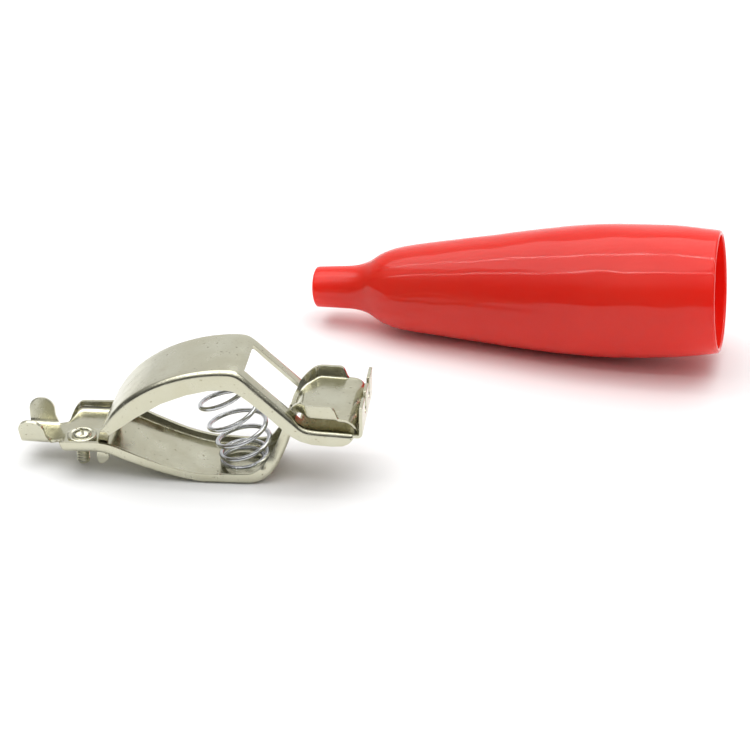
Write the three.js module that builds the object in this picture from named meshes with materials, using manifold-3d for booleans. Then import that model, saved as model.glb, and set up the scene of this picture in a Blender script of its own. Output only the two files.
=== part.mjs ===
// Alligator clip lead: a spring test clip with crossed arms, and the insulating boot that goes over it.
// Millimetres, +Z up. The clip lies on its belly along +X, jaws at the +X end; the boot lies behind it.
import * as THREE from "three";
import { mergeVertices } from "three/addons/utils/BufferGeometryUtils.js";
import Module from "manifold-3d";

const wasm = await Module();
wasm.setup();

// ---------------------------------------------------------------- driving dimensions
const SHEET = 0.5;            // thickness of both stampings
const LOWER_WIDTH = 12.5;     // over the flanges of the lower arm
const UPPER_WIDTH = 12.1;     // over the flanges of the upper arm
const LUG_WIDTH = 10.9;       // over the lugs, which step in to pass between the lower arm's flanges
const EAR_ROOT = 6.2;         // strip where the ears rise from it
const NECK_WIDTH = 5.2;       // strip between the terminal and the ears
const LEG_WIDTH = 6.4;        // lower arm where it passes through the upper arm
const WINDOW_WIDTH = 7.6;     // window in the upper arm
const PIVOT = [-15.85, 4.0];  // x, z of the hinge, where the lugs pass the floor slots
const CLIP_AT = [-22.56, -22.94];   // x, y that put the whole set's box over the origin

const SPRING = { wire: 0.7, turns: 7 };
const SCREW = { x: -19.6, y: -2.4, head: 2.1, shank: 0.95, hole: 1.25, tip: 0.5 };
const BOOT = { tip: [7.75, 47.1, 5.79], length: 65.4, yaw: 0.13, tilt: 0.106, wall: 0.8 };

// ---------------------------------------------------------------- solids
function solid(geometry) {
  const bare = geometry.clone();
  bare.deleteAttribute("normal");
  bare.deleteAttribute("uv");
  const mesh = mergeVertices(bare, 1e-5);
  return new wasm.Manifold(new wasm.Mesh({
    numProp: 3,
    vertProperties: new Float32Array(mesh.attributes.position.array),
    triVerts: new Uint32Array(mesh.index.array),
  }));
}

function geometryOf(body) {
  const mesh = body.getMesh();
  const geometry = new THREE.BufferGeometry();
  geometry.setAttribute("position", new THREE.BufferAttribute(new Float32Array(mesh.vertProperties), 3));
  geometry.setIndex(new THREE.BufferAttribute(new Uint32Array(mesh.triVerts), 1));
  return geometry;
}

const union = (bodies) => bodies.reduce((sum, body) => sum.add(body));

function box(x0, x1, y0, y1, z0, z1) {
  const geometry = new THREE.BoxGeometry(x1 - x0, y1 - y0, z1 - z0);
  return solid(geometry.translate((x0 + x1) / 2, (y0 + y1) / 2, (z0 + z1) / 2));
}

function cylinder(x, y, z0, z1, radius, segments = 32) {
  const geometry = new THREE.CylinderGeometry(radius, radius, z1 - z0, segments);
  return solid(geometry.rotateX(Math.PI / 2).translate(x, y, (z0 + z1) / 2));
}

// A flat plate with an outline in x and z, standing between y0 and y1.
function plate(outline, y0, y1) {
  const shape = new THREE.Shape(outline.map(([x, z]) => new THREE.Vector2(x, z)));
  const geometry = new THREE.ExtrudeGeometry(shape, { depth: y1 - y0, bevelEnabled: false });
  return solid(geometry.rotateX(Math.PI / 2).translate(0, y1, 0));
}

// The same plate on both sides of the clip.
function pairOfPlates(outline, inner, outer) {
  return [plate(outline, inner, outer), plate(outline, -outer, -inner)];
}

function curveThrough(marks) {
  return new THREE.CatmullRomCurve3(marks.map(([x, z]) => new THREE.Vector3(x, 0, z)), false, "centripetal");
}

// Smooth points through a few [x, z] marks.
function smooth(marks, count) {
  return curveThrough(marks).getSpacedPoints(count).map((point) => [point.x, point.z]);
}

// A line moved sideways by `distance`, to its left as it is walked.
function offset(line, distance) {
  return line.map(([x, z], i) => {
    const [ax, az] = line[Math.max(i - 1, 0)];
    const [bx, bz] = line[Math.min(i + 1, line.length - 1)];
    const length = Math.hypot(bx - ax, bz - az);
    return [x - (bz - az) / length * distance, z + (bx - ax) / length * distance];
  });
}

// A value read off [position, value] marks, straight between them.
function along(marks, position) {
  if (position <= marks[0][0]) return marks[0][1];
  for (let i = 1; i < marks.length; i += 1) {
    const [p0, v0] = marks[i - 1];
    const [p1, v1] = marks[i];
    if (position <= p1) return v0 + (v1 - v0) * (position - p0) / (p1 - p0);
  }
  return marks[marks.length - 1][1];
}

// A closed body through equal rings of points.
function loft(rings) {
  const size = rings[0].length;
  const positions = rings.flat(2);
  const index = [];
  for (let ring = 0; ring + 1 < rings.length; ring += 1) {
    for (let k = 0; k < size; k += 1) {
      const a = ring * size + k;
      const b = ring * size + (k + 1) % size;
      index.push(a, b, b + size, a, b + size, a + size);
    }
  }
  return { positions, index, size };
}

// ---------------------------------------------------------------- lower arm
// The outside line of the strip, walked from the ears, along the belly, up the leg and out to the jaw.
const LOWER_LINE = [
  [-28.4, 3.15], [-26.4, 3.15], [-24.2, 3.2], [-22.8, 3.5], [-21.6, 3.8], [-18.0, 3.95], [-16.4, 4.0],
  [-15.0, 3.85], [-13.2, 3.3], [-10.6, 2.35], [-7.0, 1.15], [-3.6, 0.3], [-1.0, -0.05], [4.6, -0.05],
  [6.6, 0.3], [8.1, 1.35], [9.3, 3.1], [10.3, 5.3], [11.05, 7.5], [11.5, 9.2], [11.85, 10.6], [12.5, 11.65],
  [13.7, 12.1], [16.5, 12.1], [18.2, 12.05], [19.5, 11.75], [20.15, 11.0], [20.3, 10.0],
];
const JAW_RUN = 12;           // length of the strip, back from its end, that is leg top and jaw

// Half width and flange height: along x for the arm, and back from the strip's end for the jaw.
function lowerSection(point, distance, total) {
  const fromEnd = total - distance;
  if (fromEnd < JAW_RUN) {
    const leg = LEG_WIDTH / 2;
    return {
      half: along([[0, 5.2], [0.5, 6.0], [1.6, 6.2], [7.3, 6.2], [9.4, leg], [12, leg]], fromEnd),
      rise: along([[3.4, SHEET + 0.02], [3.9, 1.3], [4.6, 1.9], [8.2, 1.9], [9.6, 1.2], [14, 1.4]], fromEnd),
    };
  }
  return {
    half: along([[-24.9, EAR_ROOT / 2], [-24.2, NECK_WIDTH / 2], [-22.5, NECK_WIDTH / 2],
      [-22.0, LOWER_WIDTH / 2 - 0.8], [-21.5, LOWER_WIDTH / 2], [-13, LOWER_WIDTH / 2], [-5, 5.9],
      [5, 5.4], [8, 5.0], [9.3, 4.5], [11.0, 3.3]], point.x),
    rise: along([[-22.2, SHEET + 0.02], [-21.9, 1.5], [-21.4, 1.85], [-16.5, 2.0], [-13, 1.8], [-6, 1.5],
      [3, 1.6], [7, 1.8], [9.4, 1.7], [11.2, 1.4]], point.x),
  };
}

function lowerArm() {
  const stations = 132;
  const line = curveThrough(LOWER_LINE);
  const total = line.getLength();
  const rings = [];
  for (let i = 0; i <= stations; i += 1) {
    const point = line.getPointAt(i / stations);
    point.z = Math.max(point.z, 0);   // the belly is flat where it rests
    const tangent = line.getTangentAt(i / stations);
    const { half, rise } = lowerSection(point, total * i / stations, total);
    const section = [[-half, 0], [half, 0], [half, rise], [half - SHEET, rise], [half - SHEET, SHEET],
      [SHEET - half, SHEET], [SHEET - half, rise], [-half, rise]];
    rings.push(section.map(([y, up]) => [point.x - tangent.z * up, y, point.z + tangent.x * up]));
  }
  const { positions, index, size } = loft(rings);
  const last = stations * size;
  // The ends: the floor strip, then the two flange stubs.
  for (const [a, b, c, d] of [[0, 1, 4, 5], [1, 2, 3, 4], [0, 5, 6, 7]]) {
    index.push(a, c, b, a, d, c);
    index.push(last + a, last + b, last + c, last + a, last + c, last + d);
  }
  const geometry = new THREE.BufferGeometry();
  geometry.setAttribute("position", new THREE.Float32BufferAttribute(positions, 3));
  geometry.setIndex(index);
  let arm = solid(geometry);
  if (arm.volume() < 0) throw new Error("the lower arm is inside out");

  const inside = LOWER_WIDTH / 2 - SHEET;
  for (const side of [-1, 1]) {
    const slotY = [side * inside, side * (LUG_WIDTH / 2 - SHEET - 0.4)].sort((a, b) => a - b);
    arm = arm.subtract(box(PIVOT[0] - 1.4, PIVOT[0] + 1.4, slotY[0], slotY[1], 2, 6));
    arm = arm.add(ear(side));
  }
  return arm.subtract(cylinder(SCREW.x, SCREW.y, 2, 6, SCREW.hole));
}

// One crimp ear: a rounded tab rising and leaning outwards from the edge of the strip.
function ear(side) {
  const width = 3.3;
  const height = 4.2;
  const corner = 1.6;
  const lean = 0.225;
  const shape = new THREE.Shape();
  shape.moveTo(0, 0);
  shape.lineTo(width, 0);
  shape.lineTo(width - 0.2, height - corner);
  shape.quadraticCurveTo(width - 0.3, height, width - 0.3 - corner, height);
  shape.lineTo(corner - 0.2, height);
  shape.quadraticCurveTo(-0.4, height, -0.4, height - corner);
  const geometry = new THREE.ExtrudeGeometry(shape, { depth: SHEET, bevelEnabled: false, curveSegments: 8 });
  geometry.rotateX(Math.PI / 2);
  geometry.translate(0, SHEET, 0);
  if (side < 0) geometry.translate(0, -SHEET, 0);
  geometry.rotateX(-side * lean);
  geometry.translate(-28.3, side * (EAR_ROOT / 2 - SHEET), 3.2);
  return solid(geometry);
}

// ---------------------------------------------------------------- upper arm
// The top line of the web, walked from the hinge over the arch, down the leg and out along the jaw.
const ARCH = [[-15.65, 8.5], [-14.2, 10.7], [-12.1, 13.0], [-8.15, 15.75], [-4.1, 17.45], [-0.6, 18.3],
  [2.4, 18.6], [3.7, 18.5], [4.7, 17.9]];
const JAW_FLOOR = [[12.6, 10.6], [13.4, 10.05], [14.6, 9.85], [17.2, 9.8], [20.6, 9.7]];
// The lower edge of its flanges, walked the same way.
const FLANGE_EDGE = [[-14.7, 7.3], [-11.7, 9.6], [-9.2, 11.5], [-5.9, 13.5], [-3.2, 14.6], [-0.2, 15.45],
  [2.6, 15.7], [4.4, 15.1], [7.4, 12.6], [9.9, 10.25], [11.7, 8.75], [12.8, 8.15], [14.4, 7.75], [17.4, 7.65],
  [19.3, 8.0], [20.0, 8.8], [20.2, 9.5]];
// The same edge on the far flange, which is cut back along the leg.
const FAR_EDGE = [...FLANGE_EDGE.slice(0, 7), [4.0, 15.85], [5.2, 16.1], [7.4, 14.1], [10.2, 11.5], [11.6, 9.7],
  ...FLANGE_EDGE.slice(11)];
// The lug on each flange: down through the slot, then wider below the floor.
const LUG = [[-15.75, 8.3], [-16.45, 6.9], [-16.55, 5.0], [-16.85, 3.7], [-16.9, 2.9], [-16.5, 2.3],
  [-15.9, 2.6], [-15.1, 3.5], [-15.1, 5.0], [-14.7, 7.3], [-14.2, 8.3]];
// Where the lug steps in from the flange.
const LUG_STEP = [[-15.75, 8.3], [-15.9, 7.7], [-14.8, 7.7], [-14.0, 8.3], [-14.6, 9.2], [-15.3, 9.0]];

function upperArm() {
  const half = UPPER_WIDTH / 2;
  const top = [...smooth(ARCH, 22), ...smooth(JAW_FLOOR, 8)];
  const web = plate([...top, ...offset(top, -SHEET).reverse()], -half, half);
  const near = plate([...top, ...smooth(FLANGE_EDGE, 44).reverse()], -half, SHEET - half);
  const far = plate([...top, ...smooth(FAR_EDGE, 44).reverse()], half - SHEET, half);
  const lip = plate([[20.3, 9.2], [20.3, 9.7], [20.9, 9.85], [21.1, 10.3], [21.1, 14.1], [21.6, 14.1],
    [21.6, 9.9], [21.2, 9.2]], -half, half);
  let arm = union([web, lip, near, far]);
  arm = union([arm, ...pairOfPlates(LUG, LUG_WIDTH / 2 - SHEET, LUG_WIDTH / 2)]);
  arm = union([arm, ...pairOfPlates(LUG_STEP, LUG_WIDTH / 2 - SHEET, half)]);
  arm = arm.subtract(windowCut());
  for (const y of [-2.1, 2.1]) arm = arm.subtract(toothGap(y));
  return arm;
}

// The window in the leg, cut square to the leg's slope.
function windowCut() {
  const [[x0, z0], [x1, z1]] = [ARCH[ARCH.length - 1], JAW_FLOOR[0]];
  const length = Math.hypot(x1 - x0, z1 - z0) - 0.55;
  const geometry = new THREE.BoxGeometry(length, WINDOW_WIDTH, 5);
  geometry.rotateY(Math.atan2(z0 - z1, x1 - x0));
  return solid(geometry.translate((x0 + x1) / 2 + 0.1, 0, (z0 + z1) / 2 - 0.1));
}

// A rounded gap between two teeth of the lip.
function toothGap(y) {
  const gap = cylinder(0, 0, 20.5, 22.2, 0.85, 20).rotate([0, 90, 0]).translate([0, y, 12.6]);
  return gap.add(box(20.5, 22.2, y - 0.85, y + 0.85, 12.6, 15));
}

// ---------------------------------------------------------------- spring, screw, boot
function tube(points, radius, sides) {
  const curve = new THREE.CatmullRomCurve3(points);
  const frames = curve.computeFrenetFrames(points.length - 1, false);
  const rings = points.map((point, i) => Array.from({ length: sides }, (_, k) => {
    const angle = 2 * Math.PI * k / sides;
    const out = frames.normals[i].clone().multiplyScalar(Math.cos(angle) * radius)
      .addScaledVector(frames.binormals[i], Math.sin(angle) * radius);
    return [point.x + out.x, point.y + out.y, point.z + out.z];
  }));
  const { positions, index } = loft(rings);
  const last = (rings.length - 1) * sides;
  for (let k = 1; k + 1 < sides; k += 1) {
    index.push(0, k + 1, k);
    index.push(last, last + k, last + k + 1);
  }
  const geometry = new THREE.BufferGeometry();
  geometry.setAttribute("position", new THREE.Float32BufferAttribute(positions, 3));
  geometry.setIndex(index);
  return geometry;
}

// The spring turn by turn: [turn, x, z, radius of the coil, lean of its plane].
// It stands flat on the belly, its coils close and narrow there, and ends flat against the arch.
const COILS = [
  [0, 3.5, 1.1, 3.0, 0.05], [0.5, 3.55, 1.05, 3.1, 0.05], [1, 3.7, 1.75, 3.3, 0.1],
  [1.5, 3.8, 2.6, 3.5, 0.18], [2, 3.8, 3.8, 3.7, 0.26], [2.5, 3.55, 5.0, 3.8, 0.28],
  [3, 3.2, 6.25, 3.9, 0.28], [3.5, 2.5, 7.6, 3.9, 0.28], [4.5, 1.25, 10.9, 3.85, 0.28],
  [5.5, 0.1, 14.4, 3.8, 0.24], [6, -0.2, 15.8, 3.75, 0.2], [6.5, -0.3, 16.6, 3.7, 0.15],
  [7, -0.4, 17.0, 3.7, 0.13],
];

function spring() {
  const steps = SPRING.turns * 20;
  const column = (k, turn) => along(COILS.map((row) => [row[0], row[k]]), turn);
  const points = [];
  for (let i = 0; i <= steps; i += 1) {
    const turn = SPRING.turns * i / steps;
    const [x, z, radius, lean] = [1, 2, 3, 4].map((k) => column(k, turn));
    const out = Math.cos(2 * Math.PI * turn) * radius;
    points.push(new THREE.Vector3(
      x + out * Math.cos(lean), Math.sin(2 * Math.PI * turn) * radius, z + out * Math.sin(lean)));
  }
  return tube(points, SPRING.wire / 2, 8);
}

function screw() {
  const seat = 4.5;
  const { head, shank, tip } = SCREW;
  const profile = [[0, tip], [0.7, tip], [shank, tip + 0.3], [shank, seat], [head, seat], [head, seat + 0.5],
    [head - 0.2, seat + 0.65], [head - 0.7, seat + 0.6], [head - 0.8, seat + 0.75], [head - 1.2, seat + 1.1],
    [0, seat + 1.25]];
  const body = new THREE.LatheGeometry(profile.map(([r, z]) => new THREE.Vector2(r, z)), 32);
  const turned = solid(body.rotateX(Math.PI / 2));
  const recess = union([box(-1.15, 1.15, -0.22, 0.22, seat + 0.75, seat + 2),
    box(-0.22, 0.22, -1.15, 1.15, seat + 0.75, seat + 2)]);
  return turned.subtract(recess.rotate([0, 0, 25])).translate([SCREW.x, SCREW.y, 0]);
}

// Outside radius of the boot against the fraction of its length, neck first.
const BOOT_RADII = [[0, 3.35], [0.05, 3.45], [0.105, 3.7], [0.135, 4.3], [0.165, 5.5], [0.2, 6.5],
  [0.31, 7.7], [0.455, 8.85], [0.6, 10.0], [0.7, 10.6], [0.81, 10.55], [0.9, 10.25], [0.97, 9.85], [1, 9.6]];

function boot() {
  const outside = BOOT_RADII.map(([s, r]) => new THREE.Vector2(r, s * BOOT.length));
  const inside = BOOT_RADII.map(([s, r]) => new THREE.Vector2(r - BOOT.wall, s * BOOT.length)).reverse();
  const geometry = new THREE.LatheGeometry([...outside, ...inside, outside[0]], 48);
  geometry.rotateZ(-Math.PI / 2);
  geometry.rotateY(-BOOT.tilt);
  geometry.rotateZ(-BOOT.yaw);
  return solid(geometry.translate(...BOOT.tip));
}

// ---------------------------------------------------------------- the set
const nickel = new THREE.MeshStandardMaterial({ color: 0xc4bfab, metalness: 1, roughness: 0.28 });
const zinc = new THREE.MeshStandardMaterial({ color: 0xc9cdd0, metalness: 1, roughness: 0.3 });
const redVinyl = new THREE.MeshStandardMaterial({ color: 0xe0301f, metalness: 0, roughness: 0.35 });

function named(name, geometry, material) {
  const mesh = new THREE.Mesh(geometry, material);
  geometry.translate(CLIP_AT[0], CLIP_AT[1], 0);
  geometry.computeVertexNormals();
  mesh.name = name;
  return mesh;
}

const set = new THREE.Group();
set.name = "alligator_clip_lead";
set.add(named("lower_arm", geometryOf(lowerArm()), nickel));
set.add(named("upper_arm", geometryOf(upperArm()), nickel));
set.add(named("spring", geometryOf(solid(spring())), zinc));
set.add(named("wire_screw", geometryOf(screw()), nickel));
set.add(named("insulating_boot", geometryOf(boot()), redVinyl));
export default set;
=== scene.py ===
"""A crossed-arm test clip and its loose red boot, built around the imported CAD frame."""

import math

import bmesh
import bpy
from mathutils import Euler, Matrix, Vector, noise

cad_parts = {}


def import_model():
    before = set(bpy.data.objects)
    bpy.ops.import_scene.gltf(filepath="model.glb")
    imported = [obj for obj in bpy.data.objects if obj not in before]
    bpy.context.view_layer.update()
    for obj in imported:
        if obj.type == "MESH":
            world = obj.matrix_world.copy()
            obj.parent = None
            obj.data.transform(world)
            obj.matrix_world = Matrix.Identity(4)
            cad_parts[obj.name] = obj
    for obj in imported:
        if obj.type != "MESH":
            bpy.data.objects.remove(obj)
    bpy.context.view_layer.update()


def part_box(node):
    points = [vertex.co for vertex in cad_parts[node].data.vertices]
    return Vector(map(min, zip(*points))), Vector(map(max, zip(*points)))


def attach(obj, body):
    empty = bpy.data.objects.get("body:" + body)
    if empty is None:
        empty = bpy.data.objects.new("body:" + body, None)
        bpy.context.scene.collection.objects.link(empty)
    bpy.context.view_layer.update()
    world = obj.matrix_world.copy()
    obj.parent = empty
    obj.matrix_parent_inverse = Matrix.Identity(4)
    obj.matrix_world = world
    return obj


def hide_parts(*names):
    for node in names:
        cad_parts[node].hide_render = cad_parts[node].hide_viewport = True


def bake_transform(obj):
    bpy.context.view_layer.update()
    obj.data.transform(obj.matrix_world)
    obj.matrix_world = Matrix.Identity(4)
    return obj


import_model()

MM = 0.001
SHEET = 0.5             # thickness of both stampings, in millimetres like all of the shapes below
FOLD = 0.8              # outside radius of the folded edges
STEP = 0.22             # distance between the sections along a sheet
LIP_FACE = 21.6         # x of the lip's outer face, in the clip's own frame

# The clip's own frame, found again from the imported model: x from the lip, y from the middle of the arm.
upper_low, upper_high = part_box("upper_arm")
CLIP = Vector((upper_high[0] - LIP_FACE * MM, (upper_low[1] + upper_high[1]) / 2, 0))


# ---------------------------------------------------------------- small tools
def place(x, y, z):
    """A point of the clip's own frame, in millimetres, as a point of the scene."""
    return CLIP + Vector((x, y, z)) * MM


def along(marks, position):
    """The value at a position, straight between [position, value] marks."""
    if position <= marks[0][0]:
        return marks[0][1]
    for (p0, v0), (p1, v1) in zip(marks, marks[1:]):
        if position <= p1:
            return v0 + (v1 - v0) * (position - p0) / (p1 - p0)
    return marks[-1][1]


def ease(marks, position, reach=0.35):
    """The same, with its corners rounded."""
    steps = (-1, -0.5, 0, 0.5, 1)
    return sum(along(marks, position + step * reach) for step in steps) / len(steps)


def spline(marks, spacing):
    """Evenly spaced points on a smooth curve through the marks."""
    parts = 24
    points = [Vector(mark) for mark in marks]
    points = [2 * points[0] - points[1]] + points + [2 * points[-1] - points[-2]]
    dense = []
    for p0, p1, p2, p3 in zip(points, points[1:], points[2:], points[3:]):
        t1 = math.sqrt((p1 - p0).length)
        t2 = t1 + math.sqrt((p2 - p1).length)
        t3 = t2 + math.sqrt((p3 - p2).length)
        for k in range(parts):
            t = t1 + (t2 - t1) * k / parts
            a1 = p0 * ((t1 - t) / t1) + p1 * (t / t1)
            a2 = p1 * ((t2 - t) / (t2 - t1)) + p2 * ((t - t1) / (t2 - t1))
            a3 = p2 * ((t3 - t) / (t3 - t2)) + p3 * ((t - t2) / (t3 - t2))
            b1 = a1 * ((t2 - t) / t2) + a2 * (t / t2)
            b2 = a2 * ((t3 - t) / (t3 - t1)) + a3 * ((t - t1) / (t3 - t1))
            dense.append(b1 * ((t2 - t) / (t2 - t1)) + b2 * ((t - t1) / (t2 - t1)))
    dense.append(points[-2])
    return resample(dense, spacing)


def resample(line, spacing):
    """The same line with its points evenly spaced."""
    lengths = [0.0]
    for a, b in zip(line, line[1:]):
        lengths.append(lengths[-1] + (b - a).length)
    count = max(2, round(lengths[-1] / spacing))
    result = []
    segment = 0
    for k in range(count + 1):
        wanted = lengths[-1] * k / count
        while segment < len(line) - 2 and lengths[segment + 1] < wanted:
            segment += 1
        part = (wanted - lengths[segment]) / max(lengths[segment + 1] - lengths[segment], 1e-9)
        result.append(line[segment].lerp(line[segment + 1], min(part, 1)))
    return result


def mesh_object(name, points, faces, sharp=34):
    """A mesh from points in the clip's frame, smooth but for its sharp edges."""
    mesh = bpy.data.meshes.new(name)
    mesh.from_pydata([tuple(place(*point)) for point in points], [], faces)
    shape = bmesh.new()
    shape.from_mesh(mesh)
    bmesh.ops.recalc_face_normals(shape, faces=shape.faces)
    shape.to_mesh(mesh)
    shape.free()
    thing = bpy.data.objects.new(name, mesh)
    bpy.context.scene.collection.objects.link(thing)
    smooth(thing, sharp)
    return thing


def smooth(thing, sharp=34):
    """Smooth shading, broken where the faces meet at more than `sharp` degrees."""
    thing.data.polygons.foreach_set("use_smooth", [True] * len(thing.data.polygons))
    thing.data.set_sharp_from_angle(angle=math.radians(sharp))


def loft(rings):
    """Points and faces of a body through equal rings, each end closed by a strip of quads across it."""
    size = len(rings[0])
    points = [point for ring in rings for point in ring]
    faces = []
    for row in range(len(rings) - 1):
        for k in range(size):
            a = row * size + k
            b = row * size + (k + 1) % size
            faces.append((a, b, b + size, a + size))
    for first in (0, len(points) - size):
        for k in range(size // 2 - 1):
            faces.append((first + k, first + k + 1, first + size - 2 - k, first + size - 1 - k))
    return points, faces


def block(name, low, high, turn=0.0):
    """A box between two corners, turned about Y around its middle."""
    middle = (Vector(low) + Vector(high)) / 2
    half = (Vector(high) - Vector(low)) / 2
    spin = Matrix.Rotation(turn, 3, "Y")
    points = []
    for x in (-1, 1):
        for y in (-1, 1):
            for z in (-1, 1):
                points.append(middle + spin @ Vector((half.x * x, half.y * y, half.z * z)))
    faces = [(0, 1, 3, 2), (4, 6, 7, 5), (0, 4, 5, 1), (2, 3, 7, 6), (0, 2, 6, 4), (1, 5, 7, 3)]
    return mesh_object(name, points, faces)


def rod(name, start, end, radius, sides=40):
    """A plain cylinder between two points."""
    start = Vector(start)
    end = Vector(end)
    axis = (end - start).normalized()
    side = axis.orthogonal().normalized()
    other = axis.cross(side)
    rings = []
    for centre in (start, end):
        ring = []
        for k in range(sides):
            angle = 2 * math.pi * k / sides
            ring.append(centre + (side * math.cos(angle) + other * math.sin(angle)) * radius)
        rings.append(ring)
    return mesh_object(name, *loft(rings))


def cut(thing, cutter):
    """Takes the cutter out of the thing for good."""
    change = thing.modifiers.new("cut", "BOOLEAN")
    change.operation = "DIFFERENCE"
    change.solver = "EXACT"
    change.object = cutter
    apply_modifiers(thing)
    bpy.data.objects.remove(cutter)


def apply_modifiers(thing):
    """Turns the modifiers' result into the thing's own mesh."""
    graph = bpy.context.evaluated_depsgraph_get()
    made = bpy.data.meshes.new_from_object(thing.evaluated_get(graph))
    thing.modifiers.clear()
    thing.data = made


def join(thing, others):
    """Joins other meshes into the thing."""
    shape = bmesh.new()
    for part in [thing, *others]:
        shape.from_mesh(part.data)
    shape.to_mesh(thing.data)
    shape.free()
    for part in others:
        bpy.data.objects.remove(part)


def soften(thing, width=0.1, segments=3):
    """Rounds the sharp edges a little, as tumbling and plating do."""
    bevel = thing.modifiers.new("edge", "BEVEL")
    bevel.width = width * MM
    bevel.segments = segments
    bevel.limit_method = "ANGLE"
    bevel.angle_limit = math.radians(40)
    apply_modifiers(thing)


def finish_metal(thing):
    """Smooth shading that leaves the flat faces flat."""
    smooth(thing, 40)
    weighting = thing.modifiers.new("weighting", "WEIGHTED_NORMAL")
    weighting.keep_sharp = True
    apply_modifiers(thing)


# ---------------------------------------------------------------- sheet metal sections
FOLD_PARTS = 6          # faces round each fold
LEAST_INNER = 0.12      # least inside radius of a fold, where its flange is high enough
LOW_FLANGE = 0.8        # most of a low flange's height that its fold may take


def half_section(half, rise, fold):
    """One side of a U section: the (across, up) points of its outside, and of its inside.

    Both lists start at the flange's top and end near the middle of the web.
    """
    outer = min(fold, rise * LOW_FLANGE)
    inner = min(max(outer - SHEET, LEAST_INNER), max(rise - SHEET, 0.02))
    outer_flat = half - outer           # half widths of the web's flat
    inner_flat = half - SHEET - inner
    outside = [(half, rise)]
    inside = [(half - SHEET, rise)]
    for k in range(FOLD_PARTS + 1):
        angle = math.pi / 2 * k / FOLD_PARTS
        outside.append((outer_flat + outer * math.cos(angle), outer - outer * math.sin(angle)))
        inside.append((inner_flat + inner * math.cos(angle), SHEET + inner - inner * math.sin(angle)))
    for part in (0.8, 0.6, 0.4, 0.2):
        outside.append((part * outer_flat, 0.0))
        inside.append((part * inner_flat, SHEET))
    return outside, inside


def channel_ring(half, rise, far_rise=None, fold=FOLD):
    """A U section as (across, up) points: web at 0, flanges rising to `rise`, folds rounded.

    The far flange, at positive across, may rise less than the near one.
    """
    outside, inside = half_section(half, far_rise or rise, fold)
    near_outside, near_inside = half_section(half, rise, fold)
    ring = outside + [(0.0, 0.0)] + [(-across, up) for across, up in reversed(near_outside)]
    ring += [(-across, up) for across, up in near_inside] + [(0.0, SHEET)] + inside[::-1]
    return ring


EAR_WIDTH = 3.7
EAR_LENGTH = 4.3        # along the sheet, from where it starts to bend
EAR_CORNER = 1.75
EAR_LEAN = 0.225
EAR_BEND = 0.9          # inside radius where the ear rises from the strip
EAR_FLARE = 1.3         # how far its foot spreads along the strip towards the terminal
EAR_FLARE_REACH = 2.2   # how far up the ear that spread fades out
EAR_SWEEP = (0.4, 0.3)  # how far its end edge and its terminal edge slant back towards the strip's end
EAR_ROOT = (-28.45, 3.15)       # x and z of the foot


def ear(side):
    """A crimp ear: a rounded tab that bends up out of the strip and leans outwards."""
    root_x, root_z = EAR_ROOT
    root_y = CRADLE_HALF - 0.05
    turn = math.pi / 2 - EAR_LEAN
    spine = []
    for k in range(11):
        angle = turn * k / 10
        spine.append((root_y + EAR_BEND * math.sin(angle), EAR_BEND * (1 - math.cos(angle)), angle))
    last_y, last_z, _ = spine[-1]
    straight = EAR_LENGTH - EAR_BEND * turn
    for k in range(1, 25):
        step = straight * math.sin(math.pi / 2 * k / 24)
        spine.append((last_y + step * math.cos(turn), last_z + step * math.sin(turn), turn))
    rings = []
    walked = 0.0
    for k, (y, z, angle) in enumerate(spine):
        if k:
            walked += math.hypot(y - spine[k - 1][0], z - spine[k - 1][1])
        over = max(walked - (EAR_LENGTH - EAR_CORNER), 0) / EAR_CORNER
        inset = EAR_CORNER * (1 - math.sqrt(max(1 - over * over, 0.0)))
        flare = EAR_FLARE * max(1 - walked / EAR_FLARE_REACH, 0) ** 2
        low = root_x - EAR_SWEEP[0] * walked / EAR_LENGTH + inset
        high = root_x + EAR_WIDTH + flare - EAR_SWEEP[1] * walked / EAR_LENGTH - inset
        high = max(high, low + 0.2)
        ring = []
        for out, start, end in ((-SHEET, low, high), (0, high, low)):
            across = side * (y - out * math.sin(angle))
            up = root_z + SHEET + z + out * math.cos(angle)
            for j in range(7):
                ring.append((start + (end - start) * j / 6, across, up))
        rings.append(ring)
    return mesh_object("ear", *loft(rings))


# ---------------------------------------------------------------- lower arm
# The web's outer face, as (x, z) from the strip's end to the end of the jaw.
LOWER_LINE = [
    (-28.3, 3.15), (-26.4, 3.15), (-24.2, 3.2), (-22.8, 3.5), (-21.6, 3.8), (-18.0, 3.95), (-16.4, 4.0),
    (-15.0, 3.85), (-13.2, 3.3), (-10.6, 2.35), (-7.0, 1.15), (-3.6, 0.3), (-1.0, -0.05), (4.6, -0.05),
    (6.6, 0.3), (8.1, 1.35), (9.3, 3.1), (10.3, 5.3), (11.05, 7.5), (11.5, 9.1), (11.85, 10.4),
    (12.5, 11.35), (13.7, 11.7), (16.5, 11.7), (18.2, 11.65), (19.5, 11.45), (20.15, 10.8), (20.3, 10.0),
]
LOWER_HALF = 6.25
CRADLE_HALF = 1.75      # flat of the strip between the ears
NECK_HALF = 2.6
JAW_HALF = 6.2
LEG_HALF = 3.2
JAW_RUN = 12.0          # length of the strip, from its end, that is leg top and jaw
SLOT_ENDS = (-17.25, -14.45)            # x of each slot's ends
SLOT_SIDES = (4.55, 5.75)               # how far off the middle its sides are
SCREW_HOLE = 1.2        # radius
FLOOR_CUT = (2, 6)      # the heights between which a cutter goes through the terminal's floor

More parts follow.
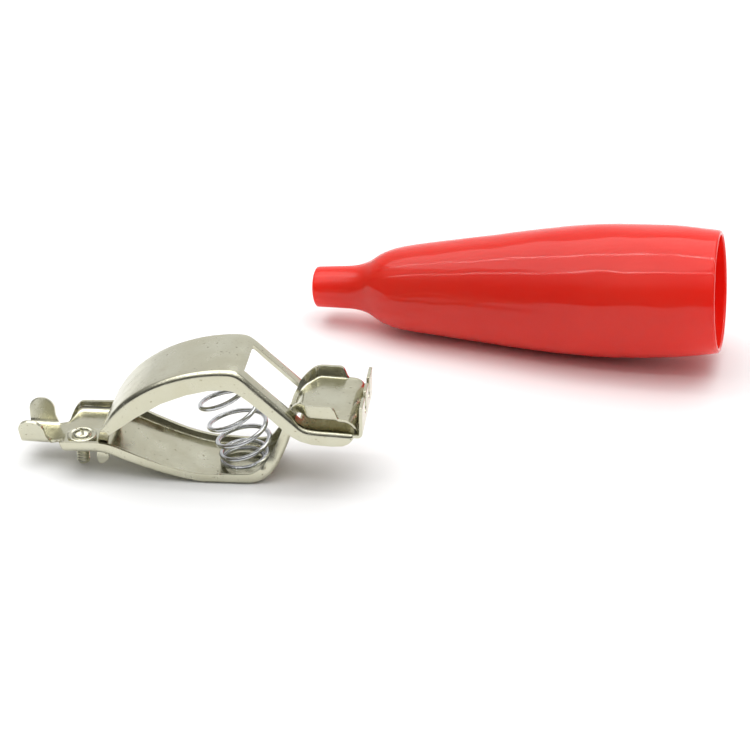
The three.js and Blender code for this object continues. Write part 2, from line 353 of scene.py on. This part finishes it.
# Half widths and flange heights, against x up to the leg, and from there against the length left to go.
HALF_ALONG_ARM = [
    (-24.95, CRADLE_HALF), (-24.6, NECK_HALF), (-22.5, NECK_HALF), (-22.0, LOWER_HALF - 0.8),
    (-21.5, LOWER_HALF), (-13, LOWER_HALF), (-5, 5.9),
    (5, 5.4), (8, 5.0), (9.3, 4.5), (11.0, 3.3),
]
RISE_ALONG_ARM = [
    (-22.5, 0.52), (-22.0, 1.5), (-21.5, 1.9), (-16.5, 2.0), (-13, 1.8), (-6, 1.5), (3, 1.6), (7, 1.8),
    (9.4, 1.7), (11.2, 1.4),
]
FOLD_ALONG_ARM = [(-17, 1.4), (-13, FOLD)]      # the terminal is folded more gently
HALF_FROM_END = [(0, 5.2), (0.5, 6.0), (1.6, JAW_HALF), (7.3, JAW_HALF), (9.4, LEG_HALF), (12, LEG_HALF)]
RISE_FROM_END = [(3.3, 0.52), (3.5, 1.4), (3.75, 2.0), (4.2, 2.3), (8.0, 2.2), (9.4, 1.2), (14, 1.4)]


def lower_arm():
    """The lower stamping, swept from the ears' strip to the end of the upper jaw."""
    line = spline([(x, 0, z) for x, z in LOWER_LINE], STEP)
    total = sum((b - a).length for a, b in zip(line, line[1:]))
    walked = 0.0
    rings = []
    for i, point in enumerate(line):
        if i:
            walked += (point - line[i - 1]).length
        ahead = line[min(i + 1, len(line) - 1)]
        behind = line[max(i - 1, 0)]
        heading = (ahead - behind).normalized()
        from_end = total - walked
        if from_end < JAW_RUN:
            half = ease(HALF_FROM_END, from_end)
            rise = ease(RISE_FROM_END, from_end, 0.2)
        else:
            half = ease(HALF_ALONG_ARM, point.x, 0.25)
            rise = ease(RISE_ALONG_ARM, point.x, 0.2)
        base = Vector((point.x, 0, max(point.z, 0)))
        up = Vector((-heading.z, 0, heading.x))
        section = channel_ring(half, rise, fold=ease(FOLD_ALONG_ARM, point.x))
        rings.append([base + up * lift + Vector((0, across, 0)) for across, lift in section])
    arm = mesh_object("lower_arm_sheet", *loft(rings))
    below, above = FLOOR_CUT
    for side in (-1, 1):
        near, far = sorted(side * across for across in SLOT_SIDES)
        cut(arm, block("slot", (SLOT_ENDS[0], near, below), (SLOT_ENDS[1], far, above)))
    cut(arm, rod("hole", (SCREW_AT.x, SCREW_AT.y, below), (SCREW_AT.x, SCREW_AT.y, above), SCREW_HOLE))
    soften(arm)
    ears = [ear(side) for side in (-1, 1)]
    for tab in ears:
        soften(tab)
    join(arm, ears)
    finish_metal(arm)
    return arm


# ---------------------------------------------------------------- upper arm
# Each mark pairs a point of the web's top line with the point of the flange's lower edge below it.
UPPER_MARKS = [
    ((-15.65, 8.5), (-14.7, 7.3)), ((-14.2, 10.7), (-12.9, 8.65)), ((-12.1, 13.0), (-10.7, 10.4)),
    ((-8.15, 15.75), (-6.9, 12.95)), ((-4.1, 17.45), (-3.3, 14.55)), ((-0.6, 18.3), (-0.2, 15.45)),
    ((2.4, 18.6), (2.3, 15.72)), ((3.7, 18.45), (3.2, 15.62)), ((4.7, 17.85), (4.1, 15.2)),
    ((6.5, 16.2), (5.6, 14.1)), ((9.3, 13.62), (8.2, 11.9)), ((12.0, 11.15), (10.7, 9.5)),
    ((12.65, 10.55), (11.7, 8.75)), ((13.4, 10.1), (12.8, 8.15)), ((14.6, 9.88), (14.4, 7.75)),
    ((17.2, 9.8), (17.2, 7.65)), ((18.8, 9.75), (18.8, 7.8)), ((19.6, 9.73), (19.6, 8.2)),
    ((20.05, 9.72), (20.05, 8.7)), ((20.35, 9.7), (20.35, 9.2)),
]
UPPER_HALF = 6.05
LEG_TOP = (4.7, 17.85)
LEG_FOOT = (12.6, 10.6)
WINDOW_LOW = (3.38, -3.8, 11.7)         # the window's cutter, before it is turned to the leg's slope
WINDOW_HIGH = (14.12, 3.8, 16.7)
FAR_SHARE = [(3.4, 1), (5.2, 0.48), (10.9, 0.48), (12.7, 1)]     # the far flange is cut back along the leg
LIP_TOP = 14.1
LIP_FOOT = 9.2          # height of the sheet's underside where the lip starts
LIP_BEND = 0.75         # outside radius of the bend into the lip
GAP_AT = 2.1            # how far each gap between two teeth is off the middle
GAP_HALF = 0.75         # half its width, and the radius of its round floor
GAP_CENTRE = 12         # the height that its floor is rounded about
LIP_CUT = (20, 23)      # the x between which a cutter goes through the lip


def upper_arm():
    """The upper stamping, swept from the arch's back to the lip, with its lugs and its window."""
    top = spline([(x, 0, z) for (x, z), _ in UPPER_MARKS], STEP)
    edge_marks = [Vector((x, 0, z)) for _, (x, z) in UPPER_MARKS]
    top_marks = [Vector((x, 0, z)) for (x, z), _ in UPPER_MARKS]
    rings = []
    for point in top:
        rings.append(upper_ring(point, top_marks, edge_marks))
    arm = mesh_object("upper_arm_sheet", *loft(rings))
    slope = math.atan2(LEG_TOP[1] - LEG_FOOT[1], LEG_FOOT[0] - LEG_TOP[0])
    cut(arm, block("window", WINDOW_LOW, WINDOW_HIGH, slope))
    pieces = [arm, toothed_lip()]
    for side in (-1, 1):
        pieces.append(lug(side))
    for piece in pieces:
        soften(piece)
    join(arm, pieces[1:])
    finish_metal(arm)
    return arm


def upper_ring(point, top_marks, edge_marks):
    """The U section at one point of the web's top line, its flanges aimed at the lower edge."""
    segments = range(len(top_marks) - 1)
    nearest = min(segments, key=lambda k: off_segment(point, top_marks[k], top_marks[k + 1]))
    part = part_along(point, top_marks[nearest], top_marks[nearest + 1])
    edge = edge_marks[nearest].lerp(edge_marks[nearest + 1], part)
    down = edge - point
    rise = down.length
    down.normalize()
    section = channel_ring(UPPER_HALF, rise, rise * ease(FAR_SHARE, point.x))
    return [point + down * lift + Vector((0, across, 0)) for across, lift in section]


def part_along(point, a, b):
    """How far along a segment its nearest place to the point is, from 0 to 1."""
    return max(0, min(1, (point - a).dot(b - a) / (b - a).length_squared))


def off_segment(point, a, b):
    """The distance from a point to a segment."""
    return (point - a.lerp(b, part_along(point, a, b))).length


def toothed_lip():
    """The upturned end of the lower jaw, with three teeth."""
    spine = [(20.2, LIP_FOOT, 0.0)]
    for k in range(9):
        angle = math.pi / 2 * k / 8
        x = LIP_FACE - LIP_BEND + LIP_BEND * math.sin(angle)
        spine.append((x, LIP_FOOT + LIP_BEND - LIP_BEND * math.cos(angle), angle))
    spine.append((LIP_FACE, LIP_TOP, math.pi / 2))
    rings = []
    for x, z, angle in spine:
        inner_x = x - SHEET * math.sin(angle)
        inner_z = z + SHEET * math.cos(angle)
        ring = [(x, across, z) for across in (-UPPER_HALF, 0, UPPER_HALF)]
        ring += [(inner_x, across, inner_z) for across in (UPPER_HALF, 0, -UPPER_HALF)]
        rings.append(ring)
    lip = mesh_object("lip", *loft(rings))
    back, front = LIP_CUT
    for across in (-GAP_AT, GAP_AT):
        low = (back, across - GAP_HALF, GAP_CENTRE)
        high = (front, across + GAP_HALF, LIP_TOP + 2)
        cut(lip, rod("gap", (back, across, GAP_CENTRE), (front, across, GAP_CENTRE), GAP_HALF))
        cut(lip, block("gap", low, high))
    return lip


def lug(side):
    """The hook at the foot of each flange: it steps in, drops through the slot and widens."""
    flange = UPPER_HALF - 0.04
    # x and z of the middle, half the length along x, and how far out its outer face stands
    marks = [
        (-14.8, 8.9, 0.35, flange), (-15.05, 8.2, 0.6, flange), (-15.35, 7.5, 0.7, 5.75),
        (-15.55, 6.9, 0.75, 5.45), (-15.75, 6.0, 0.75, 5.45), (-15.85, 4.9, 0.74, 5.45),
        (-15.92, 4.1, 0.8, 5.45), (-15.95, 3.6, 0.9, 5.42), (-16.0, 3.0, 0.88, 5.2),
        (-16.12, 2.45, 0.74, 5.0), (-16.3, 2.0, 0.46, 4.85), (-16.5, 1.7, 0.12, 4.75),
    ]
    rings = []
    for x, z, half, out in marks:
        outer = side * out
        inner = side * (out - SHEET)
        rings.append([(x - half, outer, z), (x, outer, z), (x + half, outer, z),
                      (x + half, inner, z), (x, inner, z), (x - half, inner, z)])
    return mesh_object("lug", *loft(rings))


# ---------------------------------------------------------------- spring
WIRE = 0.7
WIRE_SIDES = 16
COIL_PARTS = 56         # sections in each turn
# Turn by turn: turn, x, z, radius of the coil, lean of its plane.
COILS = [
    (0, 3.5, 1.1, 3.0, 0.05), (0.5, 3.55, 1.05, 3.1, 0.05), (1, 3.7, 1.75, 3.3, 0.1),
    (1.5, 3.8, 2.6, 3.5, 0.18), (2, 3.8, 3.8, 3.7, 0.26), (2.5, 3.55, 5.0, 3.8, 0.28),
    (3, 3.2, 6.25, 3.9, 0.28), (3.5, 2.5, 7.6, 3.9, 0.28), (4.5, 1.25, 10.9, 3.85, 0.28),
    (5.5, 0.1, 14.4, 3.8, 0.24), (6, -0.2, 15.8, 3.75, 0.2), (6.5, -0.3, 16.6, 3.7, 0.15),
    (7, -0.4, 17.0, 3.7, 0.13),
]
SPRING_TURNS = COILS[-1][0]


def coil_spring():
    """The compression spring, its coils leaning and shifting as it bends between the arms."""
    steps = SPRING_TURNS * COIL_PARTS
    path = []
    middles = []
    for i in range(steps + 1):
        turn = SPRING_TURNS * i / steps
        x, z, radius, lean = (ease([(row[0], row[k]) for row in COILS], turn, 0.2) for k in (1, 2, 3, 4))
        along_x = math.cos(2 * math.pi * turn) * radius
        across = math.sin(2 * math.pi * turn) * radius
        middles.append(Vector((x, 0, z)))
        path.append(Vector((x + along_x * math.cos(lean), across, z + along_x * math.sin(lean))))
    rings = []
    for i, point in enumerate(path):
        heading = (path[min(i + 1, steps)] - path[max(i - 1, 0)]).normalized()
        outward = point - middles[i]
        outward = (outward - heading * outward.dot(heading)).normalized()
        other = heading.cross(outward)
        ring = []
        for k in range(WIRE_SIDES):
            angle = 2 * math.pi * k / WIRE_SIDES
            ring.append(point + (outward * math.cos(angle) + other * math.sin(angle)) * WIRE / 2)
        rings.append(ring)
    return mesh_object("coil_spring", *loft(rings), sharp=60)


# ---------------------------------------------------------------- wire screw
SCREW_AT = Vector((-19.6, -2.4, 4.5))
SCREW_HEAD = 2.1        # radius
SHANK = 0.98            # radius
THREAD_PITCH = 0.45
THREAD_DEPTH = 0.16


def lathe(name, profile, centre, sides=72, wave=None):
    """A body turned about Z from (radius, height) points; `wave` adds to the radius."""
    rings = []
    for radius, height in profile:
        ring = []
        for k in range(sides):
            angle = 2 * math.pi * k / sides
            r = max(radius, 0.02)
            if wave:
                r += wave(angle, height)
            ring.append(centre + Vector((r * math.cos(angle), r * math.sin(angle), height)))
        rings.append(ring)
    return mesh_object(name, *loft(rings))


def thread(angle, height):
    """The change in the shank's radius that cuts the thread's groove."""
    phase = (height / THREAD_PITCH - angle / (2 * math.pi)) % 1
    return -THREAD_DEPTH * abs(2 * phase - 1)


def wire_screw():
    """The wire screw: a raised rim round a low dome with a cross recess, on a threaded shank."""
    profile = [(SCREW_HEAD * 0.94, 0.0), (SCREW_HEAD, 0.12), (SCREW_HEAD, 0.5), (SCREW_HEAD - 0.06, 0.6),
               (SCREW_HEAD - 0.2, 0.65), (SCREW_HEAD - 0.4, 0.62), (SCREW_HEAD - 0.55, 0.5), (1.45, 0.48)]
    for k in range(13):
        angle = math.pi / 2 * k / 12
        profile.append((1.4 * math.cos(angle), 0.52 + 0.72 * math.sin(angle)))
    head = lathe("wire_screw_body", profile, SCREW_AT)
    for turn in (25, 115):
        recess = block("recess", (-1.05, -0.2, 0.62), (1.05, 0.2, 3))
        # It is made at the clip's origin, so it moves to the scene's to be turned, and then to the screw.
        recess.data.transform(Matrix.Translation(-place(0, 0, 0)))
        recess.data.transform(Matrix.Rotation(math.radians(turn), 4, "Z"))
        recess.data.transform(Matrix.Translation(place(*SCREW_AT)))
        cut(head, recess)
    soften(head, 0.05)
    length = SCREW_AT.z - 0.5           # the tip stays clear of the floor
    rows = int(length / 0.05)
    shank = []
    for row in range(rows + 1):
        radius = SHANK if row > 6 else 0.72 + 0.04 * row        # tapered at the tip
        shank.append((radius, -length + length * row / rows))
    tail = lathe("shank", shank, SCREW_AT, 36, thread)
    join(head, [tail])
    finish_metal(head)
    return head


# ---------------------------------------------------------------- boot
BOOT_TIP = Vector((7.75, 47.1, 5.79))           # the middle of the neck's end
BOOT_LENGTH = 65.4
BOOT_YAW = 0.13         # in radians, as the tilt is
BOOT_TILT = 0.106
BOOT_WALL = 0.75
RIM_DEPTH = 0.3         # how far along the boot its rounded rims reach
BOOT_SIDES = 128
SKIN_WAVES = [(1.1, 0.16), (3.1, 0.06)]         # how close the skin's bumps are, and how high
SKIN_STRETCH = 16       # how much they are drawn out along the boot
SKIN_MARGIN = 0.06      # how far the skin sinks, to leave room for them
# Outside radii from the neck's end to the mouth, against the part of the length.
BOOT_RADII = [
    (0, 3.35), (0.05, 3.45), (0.105, 3.7), (0.135, 4.3), (0.165, 5.5), (0.2, 6.45), (0.31, 7.7),
    (0.455, 8.85), (0.6, 10.0), (0.7, 10.55), (0.81, 10.5), (0.9, 10.25), (0.97, 9.85), (1, 9.6),
]


def rolled_rim(x, radius, way):
    """The wall's rounded end: from outside in at the mouth (way 1), from inside out at the neck (-1)."""
    points = []
    for k in range(1, 8):
        angle = math.pi / 2 * k / 4
        points.append((x - way * RIM_DEPTH * (1 - math.sin(angle)),
                       radius - BOOT_WALL / 2 + way * BOOT_WALL / 2 * math.cos(angle)))
    return points


def boot():
    """The hollow sleeve: one closed outline turned about a tilted axis, and never quite round."""
    profile = spline([(part * BOOT_LENGTH, 0, radius) for part, radius in BOOT_RADII], 0.45)
    outside = [(point.x, point.z) for point in profile]
    inside = [(x, r - BOOT_WALL) for x, r in reversed(outside)]
    loop = outside[1:-1] + rolled_rim(*outside[-1], 1) + inside[1:-1] + rolled_rim(*outside[0], -1)
    spin = Euler((0, -BOOT_TILT, -BOOT_YAW), "XYZ").to_matrix()
    points = []
    for x, r in loop:
        for k in range(BOOT_SIDES):
            angle = 2 * math.pi * k / BOOT_SIDES
            around = Vector((math.cos(angle), math.sin(angle), x / SKIN_STRETCH))
            uneven = sum(height * noise.noise(around * rate) for rate, height in SKIN_WAVES)
            radius = r + uneven * min(1, r / 8) - SKIN_MARGIN
            turned = Vector((x, radius * math.cos(angle), radius * math.sin(angle)))
            points.append(BOOT_TIP + spin @ turned)
    faces = []
    count = len(loop)
    for row in range(count):
        first = row * BOOT_SIDES
        over = (row + 1) % count * BOOT_SIDES - first
        for k in range(BOOT_SIDES):
            a = first + k
            b = first + (k + 1) % BOOT_SIDES
            faces.append((a, b, b + over, a + over))
    return mesh_object("insulating_boot_skin", points, faces, sharp=60)


# ---------------------------------------------------------------- materials
def material(name, **values):
    """A new material and its shader, whose sockets take the values given by name."""
    made = bpy.data.materials.new(name)
    made.use_nodes = True
    shader = made.node_tree.nodes["Principled BSDF"]
    for socket, value in values.items():
        shader.inputs[socket.replace("_", " ")].default_value = value
    return made, shader


def add_noise(made, scale, detail=4.0, stretch=(1, 1, 1)):
    """A noise texture fixed to the object; `stretch` below 1 draws it out along that axis."""
    nodes = made.node_tree.nodes
    links = made.node_tree.links
    coordinates = nodes.new("ShaderNodeTexCoord")
    mapping = nodes.new("ShaderNodeMapping")
    mapping.inputs["Scale"].default_value = stretch
    texture = nodes.new("ShaderNodeTexNoise")
    texture.inputs["Scale"].default_value = scale
    texture.inputs["Detail"].default_value = detail
    links.new(coordinates.outputs["Object"], mapping.inputs["Vector"])
    links.new(mapping.outputs["Vector"], texture.inputs["Vector"])
    return texture


def ramp(made, source, low, high, start=0.0, end=1.0):
    """Spreads a texture's value between two numbers or colours."""
    node = made.node_tree.nodes.new("ShaderNodeValToRGB")
    node.color_ramp.elements[0].position = start
    node.color_ramp.elements[1].position = end
    node.color_ramp.elements[0].color = low if isinstance(low, tuple) else (low, low, low, 1)
    node.color_ramp.elements[1].color = high if isinstance(high, tuple) else (high, high, high, 1)
    made.node_tree.links.new(source, node.inputs["Fac"])
    return node.outputs["Color"]


def bump(made, shader, source, strength, distance):
    """Raises the surface by a texture's value, at most `distance` metres."""
    node = made.node_tree.nodes.new("ShaderNodeBump")
    node.inputs["Strength"].default_value = strength
    node.inputs["Distance"].default_value = distance
    made.node_tree.links.new(source, node.inputs["Height"])
    made.node_tree.links.new(node.outputs["Normal"], shader.inputs["Normal"])


def nickel_plate():
    """Dull, slightly yellow nickel with cloudy patches, a fine grain and a few dark specks of painted
    shade for tiny holes in the plating.
    """
    made, shader = material("nickel_plate", Metallic=1.0)
    links = made.node_tree.links
    cloud = add_noise(made, 210, 5.0)
    tint = ramp(made, cloud.outputs["Fac"], (0.575, 0.555, 0.42, 1), (0.63, 0.62, 0.495, 1), 0.35, 0.68)
    # Painted shade: dark specks multiplied into the colour stand in for the shade inside tiny holes in the
    # plating, which are not modelled.
    specks = add_noise(made, 2300, 2.0)
    painted_pit_shade = ramp(made, specks.outputs["Fac"], (0.35, 0.3, 0.22, 1), (1, 1, 1, 1), 0.27, 0.31)
    shaded_tint = made.node_tree.nodes.new("ShaderNodeMixRGB")
    shaded_tint.blend_type = "MULTIPLY"
    shaded_tint.inputs["Fac"].default_value = 1.0
    links.new(tint, shaded_tint.inputs["Color1"])
    links.new(painted_pit_shade, shaded_tint.inputs["Color2"])
    links.new(shaded_tint.outputs["Color"], shader.inputs["Base Color"])
    smear = add_noise(made, 420, 6.0)
    links.new(ramp(made, smear.outputs["Fac"], 0.14, 0.3, 0.3, 0.7), shader.inputs["Roughness"])
    grain = add_noise(made, 1100, 6.0)
    bump(made, shader, grain.outputs["Fac"], 0.16, 0.00005)
    return made


def spring_wire():
    """Drawn wire, with a faint grain round it."""
    made, shader = material("spring_wire", Metallic=1.0)
    links = made.node_tree.links
    cloud = add_noise(made, 700, 3.0)
    tint = ramp(made, cloud.outputs["Fac"], (0.48, 0.49, 0.5, 1), (0.68, 0.69, 0.7, 1), 0.3, 0.7)
    links.new(tint, shader.inputs["Base Color"])
    links.new(ramp(made, cloud.outputs["Fac"], 0.16, 0.3, 0.3, 0.7), shader.inputs["Roughness"])
    bump(made, shader, add_noise(made, 2600, 4.0).outputs["Fac"], 0.1, 0.00003)
    return made


def red_vinyl():
    """Soft glossy vinyl that lets light through, drawn out lengthwise by its mould."""
    made, shader = material("red_vinyl", Subsurface_Weight=0.75, Subsurface_Scale=0.0045,
                            Specular_IOR_Level=0.32)
    shader.inputs["Subsurface Radius"].default_value = (1.0, 0.16, 0.1)
    links = made.node_tree.links
    cloud = add_noise(made, 60, 3.0)
    tint = ramp(made, cloud.outputs["Fac"], (0.83, 0.022, 0.012, 1), (0.88, 0.028, 0.015, 1), 0.35, 0.65)
    links.new(tint, shader.inputs["Base Color"])
    draw = add_noise(made, 260, 3.0, (0.08, 1, 1))
    links.new(ramp(made, draw.outputs["Fac"], 0.05, 0.1, 0.3, 0.7), shader.inputs["Roughness"])
    bump(made, shader, draw.outputs["Fac"], 0.12, 0.0003)
    return made


def white_floor():
    """A plain matt white."""
    made, shader = material("floor", Roughness=0.7)
    shader.inputs["Base Color"].default_value = (0.9, 0.9, 0.9, 1)
    shader.inputs["Specular IOR Level"].default_value = 0.1
    return made


# ---------------------------------------------------------------- the set
def dress(thing, made, node, body=None):
    """Gives a piece its material and slot, in place of a CAD node, and lets it ride on a body if named."""
    thing.data.materials.clear()
    thing.data.materials.append(made)
    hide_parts(node)
    if body:
        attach(thing, body)


nickel = nickel_plate()
dress(lower_arm(), nickel, "lower_arm", "lower_arm")
dress(upper_arm(), nickel, "upper_arm", "upper_arm")
dress(wire_screw(), nickel, "wire_screw", "wire_screw")
dress(boot(), red_vinyl(), "insulating_boot", "boot")
spring = coil_spring()
dress(spring, spring_wire(), "spring")
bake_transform(spring)


# ---------------------------------------------------------------- floor, light, camera
def floor():
    """A wide white floor, a hair below the set."""
    bpy.ops.mesh.primitive_plane_add(size=6, location=(0, 0, -0.00002))
    sheet = bpy.context.object
    sheet.name = "floor"
    sheet.data.materials.append(white_floor())


def softbox(name, location, target, size, power):
    """A flat lamp of a given size in metres, turned towards its target."""
    data = bpy.data.lights.new(name, "AREA")
    data.shape = "RECTANGLE"
    data.size = size[0]
    data.size_y = size[1]
    data.energy = power
    lamp = bpy.data.objects.new(name, data)
    lamp.location = location
    lamp.rotation_euler = (Vector(target) - Vector(location)).to_track_quat("-Z", "Y").to_euler()
    bpy.context.scene.collection.objects.link(lamp)


def strip(name, elevation, power):
    """A long thin lamp overhead, parallel to the clip; its elevation is counted from the front."""
    away = 0.7
    angle = math.radians(elevation)
    softbox(name, (0, -away * math.cos(angle), away * math.sin(angle)), (0, 0, 0), (1.6, 0.015), power)


def world():
    """A studio that is bright overhead and behind, and dim low down in front.

    Its brightness follows how high a direction points, or how far back where that is more.
    """
    made = bpy.data.worlds.new("studio")
    made.use_nodes = True
    nodes = made.node_tree.nodes
    links = made.node_tree.links
    direction = nodes.new("ShaderNodeTexCoord")
    parts = nodes.new("ShaderNodeSeparateXYZ")
    links.new(direction.outputs["Generated"], parts.inputs["Vector"])
    backdrop = nodes.new("ShaderNodeMath")
    backdrop.operation = "MULTIPLY_ADD"
    links.new(parts.outputs["Y"], backdrop.inputs[0])
    backdrop.inputs[1].default_value = 0.45
    backdrop.inputs[2].default_value = 0.36
    brighter = nodes.new("ShaderNodeMath")
    brighter.operation = "MAXIMUM"
    links.new(parts.outputs["Z"], brighter.inputs[0])
    links.new(backdrop.outputs["Value"], brighter.inputs[1])
    spread = nodes.new("ShaderNodeMapRange")
    spread.interpolation_type = "SMOOTHSTEP"
    for socket, value in (("From Min", 0.38), ("From Max", 0.85), ("To Min", 0.1), ("To Max", 0.95)):
        spread.inputs[socket].default_value = value
    links.new(brighter.outputs["Value"], spread.inputs["Value"])
    links.new(spread.outputs["Result"], nodes["Background"].inputs["Strength"])
    nodes["Background"].inputs["Color"].default_value = (1, 1, 1, 1)
    bpy.context.scene.world = made
    bpy.context.scene.view_settings.view_transform = "Standard"


def camera():
    """A long lens that looks down on the set from the front and a little to the right."""
    azimuth = math.radians(6.6)
    elevation = math.radians(29)
    distance = 0.2964
    aim = place(22.2, 4.06, 13.9)
    forward = Vector((-math.sin(azimuth) * math.cos(elevation), math.cos(azimuth) * math.cos(elevation),
                      -math.sin(elevation)))
    data = bpy.data.cameras.new("camera")
    data.sensor_width = 36
    data.lens = 99.6
    data.clip_start = 0.01
    view = bpy.data.objects.new("camera", data)
    view.location = aim - forward * distance
    view.rotation_euler = forward.to_track_quat("-Z", "Y").to_euler()
    bpy.context.scene.collection.objects.link(view)
    bpy.context.scene.camera = view


floor()
world()
softbox("overhead", (-0.04, 0.1, 0.6), (0, 0, 0), (0.9, 0.7), 2.9)
strip("strip_high", 94, 0.8)
strip("strip_low", 64, 0.7)
camera()
